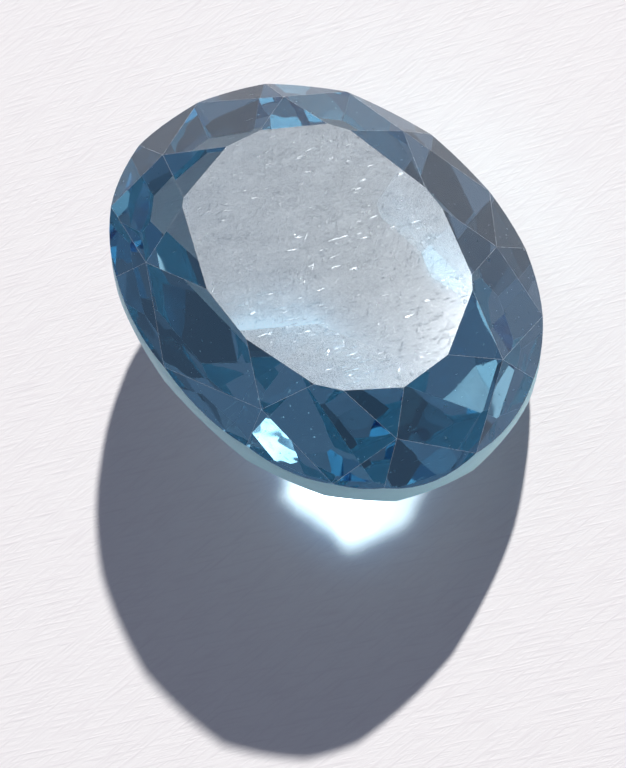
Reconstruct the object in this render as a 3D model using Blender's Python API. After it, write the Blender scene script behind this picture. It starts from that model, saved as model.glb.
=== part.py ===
"""A loose faceted oval of blue topaz, lying on one facet beside its culet.

The stone is ground the way a cutter grinds one: an oval blank, and one flat cut for each facet.
Sizes are in millimetres until the finished stone is scaled to metres at the end.
Blank frame: X along the oval, Y across it, Z out of the table, and Z = 0 at mid girdle.
An azimuth is in degrees from X towards Y, and an angle is in degrees from the girdle plane.
Run with: blender --background --python part.py
"""

from math import atan2, copysign, cos, degrees, radians, sin

import bmesh
import bpy
from mathutils import Matrix, Vector

MM = 0.001

# Girdle. The oval is hand cut: one side is fuller than the other, and both are a little square.
HALF_LENGTH = 5.50
FULL_HALF_WIDTH = 4.60
FLAT_HALF_WIDTH = 3.99
SQUARENESS = 2.15
GIRDLE_SIDES = 96
GIRDLE_THICKNESS = 0.62

# Crown. Each facet has its azimuth, and the width of crown that it covers.
CROWN_HEIGHT = 1.15
STAR_POINT_HEIGHT = 0.71
KITES = (
    (46, 1.74),
    (88, 1.57),
    (129, 1.72),
    (182, 1.83),
    (234, 1.62),
    (267, 1.56),
    (304, 1.62),
    (352, 1.97),
)
STARS = (
    (17, 2.08),
    (68, 1.77),
    (106, 1.65),
    (146, 1.87),
    (213, 1.84),
    (253, 1.66),
    (281, 1.68),
    (329, 1.92),
)

# Pavilion. Each main facet has its azimuth and its angle, and they all meet at the culet.
PAVILION_DEPTH = 3.65
REST_FACET = (270, 28.3)
MAINS = (
    (0, 26.0),
    (52, 30.0),
    (90, 31.0),
    (128, 30.0),
    (180, 26.0),
    (232, 28.0),
    REST_FACET,
    (308, 28.0),
)
LOWER_BREAK_ANGLE = 49.0

CUT_TOLERANCE = 1e-6
MEET_TOLERANCE = 0.004

TOPAZ_COLOUR = (0.22, 0.50, 0.66, 1.0)
TOPAZ_IOR = 1.62
POLISH_ROUGHNESS = 0.03

RIM_TOP = GIRDLE_THICKNESS / 2
RIM_FOOT = -GIRDLE_THICKNESS / 2
TABLE_HEIGHT = RIM_TOP + CROWN_HEIGHT
CULET = Vector((0.0, 0.0, RIM_FOOT - PAVILION_DEPTH))
UP = Vector((0.0, 0.0, 1.0))


def clear_scene():
    for obj in list(bpy.data.objects):
        bpy.data.objects.remove(obj)


def half_width(side):
    return FLAT_HALF_WIDTH if side > 0 else FULL_HALF_WIDTH


def across(azimuth):
    """The level direction of an azimuth."""
    turn = radians(azimuth)
    return Vector((cos(turn), sin(turn), 0.0))


def girdle_reach(azimuth):
    """How far the outline reaches along an azimuth."""
    way = across(azimuth)
    power = SQUARENESS / (SQUARENESS - 1)
    return (abs(HALF_LENGTH * way.x) ** power + abs(half_width(way.y) * way.y) ** power) ** (1 / power)


def girdle_touch(azimuth, height):
    """The point of the outline that a flat facing this azimuth touches."""
    way = across(azimuth)
    power = SQUARENESS / (SQUARENESS - 1)
    reach = girdle_reach(azimuth)
    x = HALF_LENGTH * (HALF_LENGTH * abs(way.x) / reach) ** (power - 1)
    y = half_width(way.y) * (half_width(way.y) * abs(way.y) / reach) ** (power - 1)
    return Vector((copysign(x, way.x), copysign(y, way.y), height))


def facing_up(azimuth, angle):
    lean = radians(angle)
    return across(azimuth) * sin(lean) + UP * cos(lean)


def facing_down(azimuth, angle):
    lean = radians(angle)
    return across(azimuth) * sin(lean) - UP * cos(lean)


def meet(first, second, height):
    """The point where two cuts cross at a height. A cut is a point and the way it faces."""
    rows = Matrix((first[1], second[1], UP))
    reaches = Vector((first[0].dot(first[1]), second[0].dot(second[1]), height))
    return rows.inverted() @ reaches


def through(a, b, c):
    """The cut that holds three points and faces up."""
    normal = (b - a).cross(c - a).normalized()
    return a, normal if normal.z > 0 else -normal


def kite_cuts():
    """The eight crown mains, from the rim of the girdle up to the table."""
    cuts = {}
    for azimuth, width in KITES:
        angle = degrees(atan2(CROWN_HEIGHT, width))
        rim = across(azimuth) * girdle_reach(azimuth) + UP * RIM_TOP
        cuts[azimuth] = (rim, facing_up(azimuth, angle))
    return cuts


def neighbours(azimuth, cuts):
    """The azimuths of the cuts on either side of this one."""
    before = max((other for other in cuts if other < azimuth), default=max(cuts))
    after = min((other for other in cuts if other > azimuth), default=min(cuts))
    return before, after


def star_and_break_cuts(kites):
    """Each star facet, with the two break facets that run from its point down to the girdle."""
    stars, breaks = [], []
    for azimuth, width in STARS:
        sides = neighbours(azimuth, kites)
        point = meet(kites[sides[0]], kites[sides[1]], RIM_TOP + STAR_POINT_HEIGHT)
        edge = girdle_reach(azimuth) - width
        run = point.dot(across(azimuth)) - edge
        angle = degrees(atan2(TABLE_HEIGHT - point.z, run))
        stars.append((across(azimuth) * edge + UP * TABLE_HEIGHT, facing_up(azimuth, angle)))
        rim = girdle_touch(azimuth, RIM_TOP)
        breaks += [through(point, rim, girdle_touch(side, RIM_TOP)) for side in sides]
    return stars, breaks


def pavilion_cuts(breaks):
    """The mains around the culet, and under each upper break facet a lower one."""
    cuts = [(CULET, facing_down(azimuth, angle)) for azimuth, angle in MAINS]
    for _, normal in breaks:
        azimuth = degrees(atan2(normal.y, normal.x))
        rim = across(azimuth) * girdle_reach(azimuth) + UP * RIM_FOOT
        cuts.append((rim, facing_down(azimuth, LOWER_BREAK_ANGLE)))
    return cuts


def oval_blank():
    """A post with the outline of the girdle, longer than the stone is deep."""
    blank = bmesh.new()
    bmesh.ops.create_cone(
        blank,
        cap_ends=True,
        segments=GIRDLE_SIDES,
        radius1=1.0,
        radius2=1.0,
        depth=3 * (CROWN_HEIGHT + GIRDLE_THICKNESS + PAVILION_DEPTH),
    )
    for vert in blank.verts:
        x, y = vert.co.xy
        vert.co.x = copysign(HALF_LENGTH * abs(x) ** (2 / SQUARENESS), x)
        vert.co.y = copysign(half_width(y) * abs(y) ** (2 / SQUARENESS), y)
    return blank


def grind(stone, point, normal):
    """Cuts the stone with one flat, and closes the cut with one facet."""
    cut = bmesh.ops.bisect_plane(
        stone,
        geom=stone.verts[:] + stone.edges[:] + stone.faces[:],
        dist=CUT_TOLERANCE,
        plane_co=point,
        plane_no=normal,
        clear_outer=True,
    )
    rim = [item for item in cut["geom_cut"] if isinstance(item, bmesh.types.BMEdge) and item.is_boundary]
    if rim:
        bmesh.ops.edgeloop_fill(stone, edges=rim)


def cut_stone():
    stone = oval_blank()
    kites = kite_cuts()
    stars, breaks = star_and_break_cuts(kites)
    table = (UP * TABLE_HEIGHT, UP)
    for point, normal in [table, *kites.values(), *stars, *breaks, *pavilion_cuts(breaks)]:
        grind(stone, point, normal)
    bmesh.ops.remove_doubles(stone, verts=stone.verts, dist=MEET_TOLERANCE)
    bmesh.ops.recalc_face_normals(stone, faces=stone.faces)
    return stone


def lay_down(stone):
    """Turns the stone onto its rest facet, with the middle of its box over the origin."""
    azimuth, angle = REST_FACET
    tip = Matrix.Rotation(radians(angle), 4, across(azimuth + 90))
    bmesh.ops.transform(stone, matrix=tip, verts=stone.verts)
    low = Vector([min(vert.co[axis] for vert in stone.verts) for axis in range(3)])
    high = Vector([max(vert.co[axis] for vert in stone.verts) for axis in range(3)])
    middle = (low + high) / 2
    bmesh.ops.translate(stone, vec=(-middle.x, -middle.y, -low.z), verts=stone.verts)
    bmesh.ops.scale(stone, vec=(MM, MM, MM), verts=stone.verts)


def topaz_material():
    material = bpy.data.materials.new("topaz")
    material.use_nodes = True
    shader = material.node_tree.nodes["Principled BSDF"]
    shader.inputs["Base Color"].default_value = TOPAZ_COLOUR
    shader.inputs["Roughness"].default_value = POLISH_ROUGHNESS
    shader.inputs["Metallic"].default_value = 0.0
    shader.inputs["IOR"].default_value = TOPAZ_IOR
    shader.inputs["Transmission Weight"].default_value = 1.0
    return material


def make_topaz():
    stone = cut_stone()
    lay_down(stone)
    mesh = bpy.data.meshes.new("topaz")
    stone.to_mesh(mesh)
    stone.free()
    mesh.materials.append(topaz_material())
    topaz = bpy.data.objects.new("topaz", mesh)
    parts = bpy.data.collections.new("topaz_gemstone")
    parts.objects.link(topaz)
    bpy.context.scene.collection.children.link(parts)


clear_scene()
make_topaz()
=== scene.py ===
from math import atan2, copysign, cos, degrees, pi, radians, sin

import bmesh
import bpy
import numpy as np
from mathutils import Matrix, Vector


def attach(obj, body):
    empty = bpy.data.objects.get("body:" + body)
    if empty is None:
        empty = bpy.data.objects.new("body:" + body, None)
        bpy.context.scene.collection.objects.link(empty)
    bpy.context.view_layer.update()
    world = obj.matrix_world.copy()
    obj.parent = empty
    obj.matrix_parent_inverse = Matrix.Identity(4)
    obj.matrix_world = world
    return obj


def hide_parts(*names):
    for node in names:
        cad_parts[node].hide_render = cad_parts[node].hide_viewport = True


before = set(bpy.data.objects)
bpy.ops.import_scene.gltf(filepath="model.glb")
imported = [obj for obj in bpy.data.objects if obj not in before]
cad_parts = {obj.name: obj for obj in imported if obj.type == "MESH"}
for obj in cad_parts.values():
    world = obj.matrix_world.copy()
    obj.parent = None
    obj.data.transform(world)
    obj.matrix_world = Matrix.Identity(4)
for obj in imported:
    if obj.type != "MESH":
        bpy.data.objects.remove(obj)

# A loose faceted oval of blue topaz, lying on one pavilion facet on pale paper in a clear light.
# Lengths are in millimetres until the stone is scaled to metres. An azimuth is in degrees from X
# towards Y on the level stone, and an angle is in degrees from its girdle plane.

MM = 0.001

# Girdle
HALF_LENGTH = 5.50
FULL_HALF_WIDTH = 4.60
FLAT_HALF_WIDTH = 3.99
SQUARENESS = 2.15
GIRDLE_SIDES = 96
GIRDLE_THICKNESS = 0.62

# Crown: each facet has its azimuth, and the width of crown that it covers.
CROWN_HEIGHT = 1.15
STAR_POINT_HEIGHT = 0.71
KITES = (
    (46, 1.74),
    (88, 1.57),
    (129, 1.72),
    (182, 1.83),
    (234, 1.62),
    (267, 1.56),
    (304, 1.62),
    (352, 1.97),
)
STARS = (
    (17, 2.08),
    (68, 1.77),
    (106, 1.65),
    (146, 1.87),
    (213, 1.84),
    (253, 1.66),
    (281, 1.68),
    (329, 1.92),
)

# Pavilion: each main facet has its azimuth and its angle, and they all meet at the culet. The lower
# break facets share one angle.
PAVILION_DEPTH = 3.65
REST_FACET = (270, 28.3)
MAINS = (
    (0, 26.0),
    (52, 30.0),
    (90, 31.0),
    (128, 30.0),
    (180, 26.0),
    (232, 28.0),
    REST_FACET,
    (308, 28.0),
)
LOWER_BREAK_ANGLE = 49.0

CUT_TOLERANCE = 1e-6
MEET_TOLERANCE = 0.004
EDGE_WEAR = 0.016

# Clear blue topaz
TOPAZ_IOR = 1.62
TOPAZ_BLUE = (0.15, 0.65, 0.83, 1.0)
TOPAZ_DENSITY = 130.0

# The girdle's ground surface and the rubbed edges, which scatter a share of the light
FROST_COLOUR = (0.52, 0.92, 1.0, 1.0)
FROST_CLEARNESS = 0.20
RUBBED_CLEARNESS = 0.65

# The bloom on the worn table shines a little blue.
BLOOM_TINT = (0.84, 0.93, 1.0, 1.0)

# Camera and light, by directions in the part's frame
CAMERA_RIGHT = Vector((-0.6074, -0.6995, -0.3766))
CAMERA_UP = Vector((0.7094, -0.6909, 0.1391))
CAMERA_BACK = Vector((-0.3575, -0.1827, 0.9159))
CAMERA_DISTANCE = 80.0
STONE_CENTRE = Vector((0.0, 0.2366, 3.4867))
PIXELS_PER_MM = 44.23
FRAME_WIDTH, FRAME_HEIGHT = 626, 768
CENTRE_PIXEL = (316.8, 290.2)
SENSOR_WIDTH = 36.0

SUN_IN_CAMERA = Vector((0.07, 0.79, 0.58))
SUN_DISTANCE = 1500.0
SUN_SIZE = 40.0
SUN_POWER = 33.0
SUN_COLOUR = (1.0, 0.965, 0.94)
SKY_COLOUR = (0.70, 0.75, 1.0, 1.0)
SKY_STRENGTH = 0.25

# The sky is darker around the camera: the share of its strength that is left there, and how near
# the camera's direction, as a cosine, it starts to darken and is darkest.
DARK_OVERHEAD = 0.4
DARK_STARTS, DARK_FULL = 0.80, 0.95
LIGHT_TURNS = 24
INDIRECT_LIMIT = 1.5

PAPER_COLOUR = (0.83, 0.82, 0.82, 1.0)
FIBRE_COLOUR = (0.78, 0.76, 0.77, 1.0)
FIBRES = (1.1, 0.07, 0.07)
FIBRE_WAYS = ((-0.1, -1.0, 0.0), (-0.5, -0.85, 0.0))
PAPER_ROUGHNESS = 0.9
PAPER_RELIEF = 0.013
PAPER_GAP = 0.01
PAPER_SPREAD = 80.0

# The pool of light that the stone throws on the paper, worked out here and painted on the paper as
# a glow, with a fainter, bluer painted glow spread around it. Facets that the light only grazes are
# left out, and so is light that comes out of the stone too level to land near it.
POOL_REACH = 7.0
POOL_CELLS = 130
POOL_MARGIN = 0.002
POOL_GAIN = 1.55
POOL_SOFTENING = 3
# A faint painted glow, bluer than the pool, spread wide around it on the paper.
PAINTED_GLOW_SOFTENING = 60
PAINTED_GLOW_SHARE = (0.04, 0.09, 0.15)
GRAZING = 0.05
LEAST_DROP = 0.4

# Finishes, by their place in the stone's list of materials
POLISHED, FROSTED, WORN, RUBBED = range(4)

# Marks on the stone: the length, width and height of one in millimetres, and the ways they run
DULL_CLOUDS = (1.2, 1.2, 1.2)
WAVES = (0.7, 0.7, 0.7)
SCUFFS = (0.9, 0.05, 0.05)
SPECKS = (0.5, 0.5, 0.5)
GRAIN = (0.05, 0.05, 0.05)
BLOOM = (0.007, 0.007, 0.007)
BLOOM_PATCHES = (0.9, 0.35, 0.35)
DASHES = (0.60, 0.06, 0.06)
CROSSINGS = (0.45, 0.05, 0.05)
TABLE_SPECKS = (0.45, 0.45, 0.45)
NICKS = (0.12, 0.12, 0.12)
SCUFF_WAY = (0.4, 1.0, 0.3)
ALONG = (-0.33, -0.89, -0.31)
ASLANT = (0.62, -0.70, -0.30)

# How deep the marks go in millimetres, and the roughness where they are weakest and strongest
WAVE_DEPTH = 0.0035
GRAIN_DEPTH = 0.002
SCRATCH_DEPTH = 0.0025
DULL_ROUGHNESS = (0.0, 0.05)
SCUFF_ROUGHNESS = (0.0, 0.30)
SPECK_ROUGHNESS = (0.35, 0.0)
FROST_ROUGHNESS = (0.40, 0.60)
WORN_ROUGHNESS = (0.05, 0.435)
SCRATCH_SHINE = (0.0, -0.15)
RUBBED_ROUGHNESS = (0.15, 0.45)

RIM_TOP = GIRDLE_THICKNESS / 2
RIM_FOOT = -GIRDLE_THICKNESS / 2
TABLE_HEIGHT = RIM_TOP + CROWN_HEIGHT
CULET = Vector((0.0, 0.0, RIM_FOOT - PAVILION_DEPTH))
UP = Vector((0.0, 0.0, 1.0))


def half_width(side):
    return FLAT_HALF_WIDTH if side > 0 else FULL_HALF_WIDTH


def across(azimuth):
    """The level direction of an azimuth."""
    turn = radians(azimuth)
    return Vector((cos(turn), sin(turn), 0.0))


def girdle_reach(azimuth):
    """How far the outline reaches along an azimuth."""
    way = across(azimuth)
    power = SQUARENESS / (SQUARENESS - 1)
    long_share = abs(HALF_LENGTH * way.x) ** power
    wide_share = abs(half_width(way.y) * way.y) ** power
    return (long_share + wide_share) ** (1 / power)


def girdle_touch(azimuth, height):
    """The point of the outline that a flat facing this azimuth touches."""
    way = across(azimuth)
    power = SQUARENESS / (SQUARENESS - 1)
    reach = girdle_reach(azimuth)
    x = HALF_LENGTH * (HALF_LENGTH * abs(way.x) / reach) ** (power - 1)
    y = half_width(way.y) * (half_width(way.y) * abs(way.y) / reach) ** (power - 1)
    return Vector((copysign(x, way.x), copysign(y, way.y), height))


def facing_up(azimuth, angle):
    lean = radians(angle)
    return across(azimuth) * sin(lean) + UP * cos(lean)


def facing_down(azimuth, angle):
    lean = radians(angle)
    return across(azimuth) * sin(lean) - UP * cos(lean)


def meet(first, second, height):
    """The point where two cuts cross at a height. A cut is a point and the way it faces."""
    rows = Matrix((first[1], second[1], UP))
    reaches = Vector((first[0].dot(first[1]), second[0].dot(second[1]), height))
    return rows.inverted() @ reaches


def through(a, b, c):
    """The cut that holds three points and faces up."""
    normal = (b - a).cross(c - a).normalized()
    return a, normal if normal.z > 0 else -normal


def kite_cuts():
    """The eight crown mains, from the rim of the girdle up to the table."""
    cuts = {}
    for azimuth, width in KITES:
        angle = degrees(atan2(CROWN_HEIGHT, width))
        rim = across(azimuth) * girdle_reach(azimuth) + UP * RIM_TOP
        cuts[azimuth] = (rim, facing_up(azimuth, angle))
    return cuts


def neighbours(azimuth, cuts):
    """The azimuths of the cuts on either side of this one."""
    before = max((other for other in cuts if other < azimuth), default=max(cuts))
    after = min((other for other in cuts if other > azimuth), default=min(cuts))
    return before, after


def star_and_break_cuts(kites):
    """Each star facet, with the two break facets that run from its point down to the girdle."""
    stars, breaks = [], []
    for azimuth, width in STARS:
        sides = neighbours(azimuth, kites)
        point = meet(kites[sides[0]], kites[sides[1]], RIM_TOP + STAR_POINT_HEIGHT)
        edge = girdle_reach(azimuth) - width
        run = point.dot(across(azimuth)) - edge
        angle = degrees(atan2(TABLE_HEIGHT - point.z, run))
        stars.append((across(azimuth) * edge + UP * TABLE_HEIGHT, facing_up(azimuth, angle)))
        rim = girdle_touch(azimuth, RIM_TOP)
        breaks += [through(point, rim, girdle_touch(side, RIM_TOP)) for side in sides]
    return stars, breaks


def pavilion_cuts(breaks):
    """The mains around the culet, and under each upper break facet a lower one."""
    cuts = [(CULET, facing_down(azimuth, angle)) for azimuth, angle in MAINS]
    for _, normal in breaks:
        azimuth = degrees(atan2(normal.y, normal.x))
        rim = across(azimuth) * girdle_reach(azimuth) + UP * RIM_FOOT
        cuts.append((rim, facing_down(azimuth, LOWER_BREAK_ANGLE)))
    return cuts


def oval_blank():
    """A frosted post with the outline of the girdle, longer than the stone is deep."""
    blank = bmesh.new()
    bmesh.ops.create_cone(
        blank,
        cap_ends=True,
        segments=GIRDLE_SIDES,
        radius1=1.0,
        radius2=1.0,
        depth=3 * (CROWN_HEIGHT + GIRDLE_THICKNESS + PAVILION_DEPTH),
    )
    for vert in blank.verts:
        x, y = vert.co.xy
        vert.co.x = copysign(HALF_LENGTH * abs(x) ** (2 / SQUARENESS), x)
        vert.co.y = copysign(half_width(y) * abs(y) ** (2 / SQUARENESS), y)
    for face in blank.faces:
        face.material_index = FROSTED
        face.smooth = True
    return blank


def grind(stone, point, normal, finish):
    """Cuts the stone with one flat, and closes the cut with one facet."""
    cut = bmesh.ops.bisect_plane(
        stone,
        geom=stone.verts[:] + stone.edges[:] + stone.faces[:],
        dist=CUT_TOLERANCE,
        plane_co=point,
        plane_no=normal,
        clear_outer=True,
    )
    edges = [item for item in cut["geom_cut"] if isinstance(item, bmesh.types.BMEdge)]
    rim = [edge for edge in edges if edge.is_boundary]
    if not rim:
        return
    for facet in bmesh.ops.edgeloop_fill(stone, edges=rim)["faces"]:
        facet.material_index = finish
        facet.smooth = False


def cut_stone():
    stone = oval_blank()
    kites = kite_cuts()
    stars, breaks = star_and_break_cuts(kites)
    grind(stone, UP * TABLE_HEIGHT, UP, WORN)
    for point, normal in [*kites.values(), *stars, *breaks, *pavilion_cuts(breaks)]:
        grind(stone, point, normal, POLISHED)
    bmesh.ops.remove_doubles(stone, verts=stone.verts, dist=MEET_TOLERANCE)
    bmesh.ops.recalc_face_normals(stone, faces=stone.faces)
    return stone


def wear_edges(stone):
    """Rounds the facets' edges by the little that handling has taken off them."""
    sharp = [
        edge
        for edge in stone.edges
        if edge.is_manifold and not all(face.smooth for face in edge.link_faces)
    ]
    rubbed = bmesh.ops.bevel(
        stone,
        geom=sharp,
        offset=EDGE_WEAR,
        offset_type="OFFSET",
        affect="EDGES",
        segments=1,
        profile=0.5,
        clamp_overlap=True,
        material=-1,
    )["faces"]
    for face in rubbed:
        face.material_index = RUBBED


def lay_down(stone):
    """Turns the stone onto its rest facet, with the middle of its box over the origin."""
    azimuth, angle = REST_FACET
    tip = Matrix.Rotation(radians(angle), 4, across(azimuth + 90))
    bmesh.ops.transform(stone, matrix=tip, verts=stone.verts)
    low = Vector([min(vert.co[axis] for vert in stone.verts) for axis in range(3)])
    high = Vector([max(vert.co[axis] for vert in stone.verts) for axis in range(3)])
    middle = (low + high) / 2
    bmesh.ops.translate(stone, vec=(-middle.x, -middle.y, -low.z), verts=stone.verts)
    bmesh.ops.scale(stone, vec=(MM, MM, MM), verts=stone.verts)


def clear_topaz(name):
    """Clear blue topaz, with its colour in its depth."""
    material = bpy.data.materials.new(name)
    material.use_nodes = True
    tree = material.node_tree
    shader = tree.nodes["Principled BSDF"]
    shader.inputs["Base Color"].default_value = (1.0, 1.0, 1.0, 1.0)
    shader.inputs["IOR"].default_value = TOPAZ_IOR
    shader.inputs["Transmission Weight"].default_value = 1.0
    depth = tree.nodes.new("ShaderNodeVolumeAbsorption")
    depth.inputs["Color"].default_value = TOPAZ_BLUE
    depth.inputs["Density"].default_value = TOPAZ_DENSITY
    tree.links.new(depth.outputs["Volume"], tree.nodes["Material Output"].inputs["Volume"])
    return material, tree, shader


def marks(tree, size, way=(1.0, 0.0, 0.0)):
    """Places on the piece, counted in marks that lie along a way.

    The size of a mark is its length, width and height in millimetres.
    """
    place = tree.nodes.new("ShaderNodeTexCoord")
    fit = tree.nodes.new("ShaderNodeMapping")
    fit.vector_type = "TEXTURE"
    fit.inputs["Rotation"].default_value = Vector(way).to_track_quat("X", "Z").to_euler()
    fit.inputs["Scale"].default_value = [length * MM for length in size]
    tree.links.new(place.outputs["Object"], fit.inputs["Vector"])
    return fit.outputs["Vector"]


def cloud(tree, places, detail=2.0):
    noise = tree.nodes.new("ShaderNodeTexNoise")
    noise.inputs["Scale"].default_value = 1.0
    noise.inputs["Detail"].default_value = detail
    tree.links.new(places, noise.inputs["Vector"])
    return noise.outputs["Fac"]


def pits(tree, places):
    cells = tree.nodes.new("ShaderNodeTexVoronoi")
    cells.inputs["Scale"].default_value = 1.0
    tree.links.new(places, cells.inputs["Vector"])
    return cells.outputs["Distance"]


def ramp(tree, value, low, high, start=0.0, end=1.0):
    """A value that goes from start to end while the given one goes from low to high."""
    span = tree.nodes.new("ShaderNodeMapRange")
    span.inputs["From Min"].default_value = low
    span.inputs["From Max"].default_value = high
    span.inputs["To Min"].default_value = start
    span.inputs["To Max"].default_value = end
    tree.links.new(value, span.inputs["Value"])
    return span.outputs["Result"]


def add(tree, first, second):
    total = tree.nodes.new("ShaderNodeMath")
    tree.links.new(first, total.inputs[0])
    tree.links.new(second, total.inputs[1])
    return total.outputs["Value"]


def most(tree, values):
    """The greatest of several values."""
    top = values[0]
    for value in values[1:]:
        node = tree.nodes.new("ShaderNodeMath")
        node.operation = "MAXIMUM"
        tree.links.new(top, node.inputs[0])
        tree.links.new(value, node.inputs[1])
        top = node.outputs["Value"]
    return top


def roughen(tree, shader, height, depth):
    """Raises the surface where the height is great, by at most this depth in millimetres."""
    bump = tree.nodes.new("ShaderNodeBump")
    bump.inputs["Distance"].default_value = depth * MM
    tree.links.new(height, bump.inputs["Height"])
    tree.links.new(bump.outputs["Normal"], shader.inputs["Normal"])


def polished_facets():
    """Hard polish, slightly wavy and a little dulled in clouds, with a few fine handling marks."""
    material, tree, shader = clear_topaz("polished_facets")
    dulled = cloud(tree, marks(tree, DULL_CLOUDS))
    dulled = ramp(tree, dulled, 0.45, 0.75, *DULL_ROUGHNESS)
    scuffs = cloud(tree, marks(tree, SCUFFS, SCUFF_WAY))
    scuffs = ramp(tree, scuffs, 0.70, 0.76, *SCUFF_ROUGHNESS)
    specks = pits(tree, marks(tree, SPECKS))
    specks = ramp(tree, specks, 0.05, 0.07, *SPECK_ROUGHNESS)
    tree.links.new(most(tree, [dulled, scuffs, specks]), shader.inputs["Roughness"])
    roughen(tree, shader, cloud(tree, marks(tree, WAVES), 0.0), WAVE_DEPTH)
    return material


def frosted_girdle():
    """The unpolished band, ground to an even grain."""
    material, tree, shader = clear_topaz("frosted_girdle")
    shader.inputs["Base Color"].default_value = FROST_COLOUR
    shader.inputs["Transmission Weight"].default_value = FROST_CLEARNESS
    grain = cloud(tree, marks(tree, GRAIN), 3.0)
    ground = ramp(tree, grain, 0.3, 0.7, *FROST_ROUGHNESS)
    tree.links.new(ground, shader.inputs["Roughness"])
    roughen(tree, shader, grain, GRAIN_DEPTH)
    return material


def scratched_table():
    """Worn polish: a fine bloom, thicker in clouds, dashes that mostly run one way, and pits."""
    material, tree, shader = clear_topaz("scratched_table")
    shader.inputs["Specular Tint"].default_value = BLOOM_TINT
    bloom = cloud(tree, marks(tree, BLOOM), 0.0)
    patches = cloud(tree, marks(tree, BLOOM_PATCHES, ALONG), 3.0)
    patches = ramp(tree, patches, 0.3, 0.7, -0.03, 0.03)
    bloom = ramp(tree, add(tree, bloom, patches), 0.413, 0.418)
    dashes = ramp(tree, cloud(tree, marks(tree, DASHES, ALONG)), 0.62, 0.70)
    crossings = ramp(tree, cloud(tree, marks(tree, CROSSINGS, ASLANT)), 0.67, 0.74)
    specks = ramp(tree, pits(tree, marks(tree, TABLE_SPECKS)), 0.08, 0.11, 1.0, 0.0)
    worn = ramp(tree, most(tree, [bloom, specks]), 0.0, 1.0, *WORN_ROUGHNESS)
    scratches = most(tree, [dashes, crossings])
    bright = ramp(tree, scratches, 0.0, 1.0, *SCRATCH_SHINE)
    tree.links.new(add(tree, worn, bright), shader.inputs["Roughness"])
    roughen(tree, shader, most(tree, [scratches, specks]), SCRATCH_DEPTH)
    return material


def rubbed_edges():
    """The edges between facets, rubbed dull and paler."""
    material, tree, shader = clear_topaz("rubbed_edges")
    shader.inputs["Transmission Weight"].default_value = RUBBED_CLEARNESS
    nicks = cloud(tree, marks(tree, NICKS))
    rubbed = ramp(tree, nicks, 0.35, 0.65, *RUBBED_ROUGHNESS)
    tree.links.new(rubbed, shader.inputs["Roughness"])
    return material


def make_stone():
    stone = cut_stone()
    wear_edges(stone)
    lay_down(stone)
    mesh = bpy.data.meshes.new("polished_topaz")
    stone.to_mesh(mesh)
    stone.free()
    for material in (polished_facets(), frosted_girdle(), scratched_table(), rubbed_edges()):
        mesh.materials.append(material)
    topaz = bpy.data.objects.new("polished_topaz", mesh)
    bpy.context.scene.collection.objects.link(topaz)
    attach(topaz, "root")
    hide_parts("topaz")


def sun_way():
    """The direction of the sun from the stone."""
    turn = Matrix((CAMERA_RIGHT, CAMERA_UP, CAMERA_BACK)).transposed()
    return (turn @ SUN_IN_CAMERA).normalized()


def bent(ray, normal, ratio):
    """The ray after a surface that it meets against the normal.

    It is None where the surface turns all of the ray back.
    """
    inward = -ray.dot(normal)
    onward = 1 - ratio**2 * (1 - inward**2)
    if onward <= 0:
        return None
    return (ratio * ray + (ratio * inward - onward**0.5) * normal).normalized()


def let_through(first, second, near, far):
    """The share of light that a polished surface lets through.

    The first two values are the cosines of the light on its two sides, the last two the IORs there.
    """
    upright = (near * first - far * second) / (near * first + far * second)
    level = (near * second - far * first) / (near * second + far * first)
    return 1 - (upright**2 + level**2) / 2


def facet_planes():
    """The facets of the stone as it lies, each as the way it faces and how far out it is."""
    stone = cut_stone()
    lay_down(stone)
    stone.normal_update()
    facets = []
    for face in stone.faces:
        if not face.smooth:
            facets.append((face.normal.copy(), face.normal.dot(face.verts[0].co) / MM))
    stone.free()
    return facets


def light_pools(x, y):
    """How strongly the sun lights places on the paper through the stone.

    The light goes in at one facet and out at another, without turning round inside.
    """
    facets = facet_planes()
    ways = np.array([way for way, _ in facets])
    reaches = np.array([reach for _, reach in facets])
    places = np.stack([x, y, np.zeros_like(x)], axis=1)
    light = np.zeros((len(x), 3))
    sun = sun_way()
    absorbed = (1 - np.array(TOPAZ_BLUE[:3])) * TOPAZ_DENSITY * MM
    for door, door_reach in facets:
        first = sun.dot(door)
        if first <= GRAZING:
            continue
        inside = bent(-sun, door, 1 / TOPAZ_IOR)
        for gate, gate_reach in facets:
            second = inside.dot(gate)
            out = bent(inside, -gate, TOPAZ_IOR) if second > GRAZING else None
            if out is None or out.z > -LEAST_DROP:
                continue
            rise = (gate_reach - places @ np.array(gate)) / out.dot(gate)
            leave = places + rise[:, None] * np.array(out)
            on_gate = (leave @ ways.T - reaches).max(axis=1) < POOL_MARGIN
            lit = np.flatnonzero((rise < 0) & on_gate)
            run = (door_reach - leave[lit] @ np.array(door)) / inside.dot(door)
            enter = leave[lit] + run[:, None] * np.array(inside)
            held = (run < 0) & ((enter @ ways.T - reaches).max(axis=1) < POOL_MARGIN)
            lit, run = lit[held], run[held]
            inner = -inside.dot(door)
            outer = out.dot(gate)
            share = let_through(first, inner, 1, TOPAZ_IOR)
            share *= let_through(second, outer, TOPAZ_IOR, 1)
            gathered = first / inner * second * -out.z / (outer * sun.z)
            light[lit] += share * gathered * np.exp(run[:, None] * absorbed)
    return light


def soften(light, times):
    """Spreads the light on the paper over the places beside it."""
    grid = light.reshape(POOL_CELLS + 1, POOL_CELLS + 1, 3)
    for _ in range(times):
        for way in (0, 1):
            grid = (np.roll(grid, 1, way) + 2 * grid + np.roll(grid, -1, way)) / 4
    return grid.reshape(-1, 3)


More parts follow.
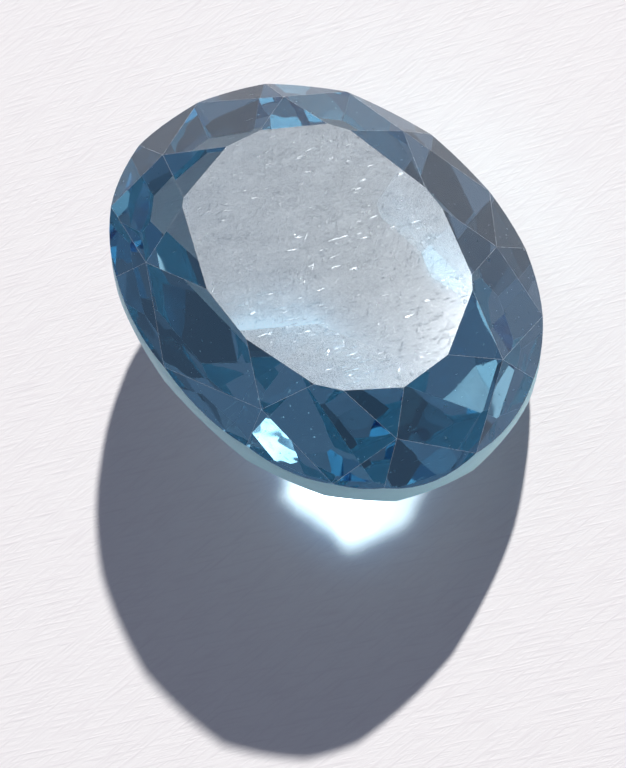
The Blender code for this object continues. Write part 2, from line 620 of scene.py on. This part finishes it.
def paper_sheet():
    """A sheet with a fine grid around the stone, and a wide plain skirt."""
    sheet = bmesh.new()
    bmesh.ops.create_grid(
        sheet,
        x_segments=POOL_CELLS,
        y_segments=POOL_CELLS,
        size=POOL_REACH * MM,
    )
    rim = [edge for edge in sheet.edges if edge.is_boundary]
    skirt = bmesh.ops.extrude_edge_only(sheet, edges=rim)["geom"]
    corners = [item for item in skirt if isinstance(item, bmesh.types.BMVert)]
    bmesh.ops.scale(sheet, vec=(PAPER_SPREAD, PAPER_SPREAD, 1.0), verts=corners)
    bmesh.ops.translate(sheet, vec=(0.0, 0.0, -PAPER_GAP * MM), verts=sheet.verts)
    mesh = bpy.data.meshes.new("paper")
    sheet.to_mesh(mesh)
    sheet.free()
    return mesh


def paint_light_pool(mesh):
    """Paints the light that comes through the stone, with a faint glow around it, as a colour at
    each point of the grid.
    """
    places = np.zeros(len(mesh.vertices) * 3)
    mesh.vertices.foreach_get("co", places)
    places = places.reshape(-1, 3) / MM
    count = (POOL_CELLS + 1) ** 2
    pools = light_pools(places[:count, 0], places[:count, 1])
    # Painted light: a wide, bluish glow around the pool, added to its colour.
    painted_glow = np.array(PAINTED_GLOW_SHARE) * soften(pools, PAINTED_GLOW_SOFTENING)
    colours = np.ones((len(places), 4))
    colours[:, :3] = 0.0
    colours[:count, :3] = soften(pools, POOL_SOFTENING) + painted_glow
    painted_pool = mesh.attributes.new("painted_pool", "FLOAT_COLOR", "POINT")
    painted_pool.data.foreach_set("color", colours.ravel().astype(np.float32))


def fibrous_paper():
    """Pale matt paper with darker fibres, and the pool of light painted on it as a glow."""
    material = bpy.data.materials.new("paper")
    material.use_nodes = True
    tree = material.node_tree
    shader = tree.nodes["Principled BSDF"]
    shader.inputs["Roughness"].default_value = PAPER_ROUGHNESS
    fibres = most(tree, [cloud(tree, marks(tree, FIBRES, way)) for way in FIBRE_WAYS])
    shade = tree.nodes.new("ShaderNodeMix")
    shade.data_type = "RGBA"
    tree.links.new(ramp(tree, fibres, 0.5, 0.8), shade.inputs["Factor"])
    shade.inputs["A"].default_value = PAPER_COLOUR
    shade.inputs["B"].default_value = FIBRE_COLOUR
    tree.links.new(shade.outputs["Result"], shader.inputs["Base Color"])
    roughen(tree, shader, fibres, PAPER_RELIEF)
    # Painted light: the paper glows with the pool, as bright as sunlit paper times the pool's gain.
    painted_pool = tree.nodes.new("ShaderNodeVertexColor")
    painted_pool.layer_name = "painted_pool"
    tree.links.new(painted_pool.outputs["Color"], shader.inputs["Emission Color"])
    sunlight = SUN_POWER * sun_way().z / (pi * (SUN_DISTANCE * MM) ** 2)
    brightness = POOL_GAIN * PAPER_COLOUR[1] * sunlight / pi
    shader.inputs["Emission Strength"].default_value = brightness
    return material


def make_paper():
    mesh = paper_sheet()
    paint_light_pool(mesh)
    mesh.materials.append(fibrous_paper())
    paper = bpy.data.objects.new("paper", mesh)
    bpy.context.scene.collection.objects.link(paper)


def make_camera():
    camera = bpy.data.objects.new("camera", bpy.data.cameras.new("camera"))
    camera.data.sensor_width = SENSOR_WIDTH
    camera.data.lens = SENSOR_WIDTH * CAMERA_DISTANCE * PIXELS_PER_MM / FRAME_HEIGHT
    camera.data.clip_start = MM
    right = (CENTRE_PIXEL[0] - FRAME_WIDTH / 2) / PIXELS_PER_MM
    up = (FRAME_HEIGHT / 2 - CENTRE_PIXEL[1]) / PIXELS_PER_MM
    place = STONE_CENTRE - CAMERA_RIGHT * right - CAMERA_UP * up + CAMERA_BACK * CAMERA_DISTANCE
    turn = Matrix((CAMERA_RIGHT, CAMERA_UP, CAMERA_BACK)).transposed()
    camera.matrix_world = Matrix.Translation(place * MM) @ turn.to_4x4()
    bpy.context.scene.collection.objects.link(camera)
    bpy.context.scene.camera = camera


def make_sun():
    way = sun_way()
    lamp = bpy.data.lights.new("low_clear_light", "AREA")
    lamp.shape = "DISK"
    lamp.size = SUN_SIZE * MM
    lamp.energy = SUN_POWER
    lamp.color = SUN_COLOUR
    light = bpy.data.objects.new("low_clear_light", lamp)
    light.location = (STONE_CENTRE + way * SUN_DISTANCE) * MM
    light.rotation_euler = way.to_track_quat("Z", "Y").to_euler()
    bpy.context.scene.collection.objects.link(light)


def make_sky():
    """An even sky that darkens towards the camera."""
    world = bpy.data.worlds.new("sky")
    world.use_nodes = True
    tree = world.node_tree
    sky = tree.nodes["Background"]
    sky.inputs["Color"].default_value = SKY_COLOUR
    place = tree.nodes.new("ShaderNodeTexCoord")
    nearness = tree.nodes.new("ShaderNodeVectorMath")
    nearness.operation = "DOT_PRODUCT"
    nearness.inputs[1].default_value = CAMERA_BACK
    tree.links.new(place.outputs["Generated"], nearness.inputs[0])
    darkest = SKY_STRENGTH * DARK_OVERHEAD
    near = nearness.outputs["Value"]
    strength = ramp(tree, near, DARK_STARTS, DARK_FULL, SKY_STRENGTH, darkest)
    tree.links.new(strength, sky.inputs["Strength"])
    bpy.context.scene.world = world


def set_light_paths():
    """Light turns round inside the stone many times before it comes out."""
    cycles = bpy.context.scene.cycles
    cycles.max_bounces = LIGHT_TURNS
    cycles.glossy_bounces = LIGHT_TURNS
    cycles.transmission_bounces = LIGHT_TURNS
    cycles.sample_clamp_indirect = INDIRECT_LIMIT
    bpy.context.scene.view_settings.view_transform = "Standard"


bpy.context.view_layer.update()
make_stone()
make_paper()
make_camera()
make_sun()
make_sky()
set_light_paths()
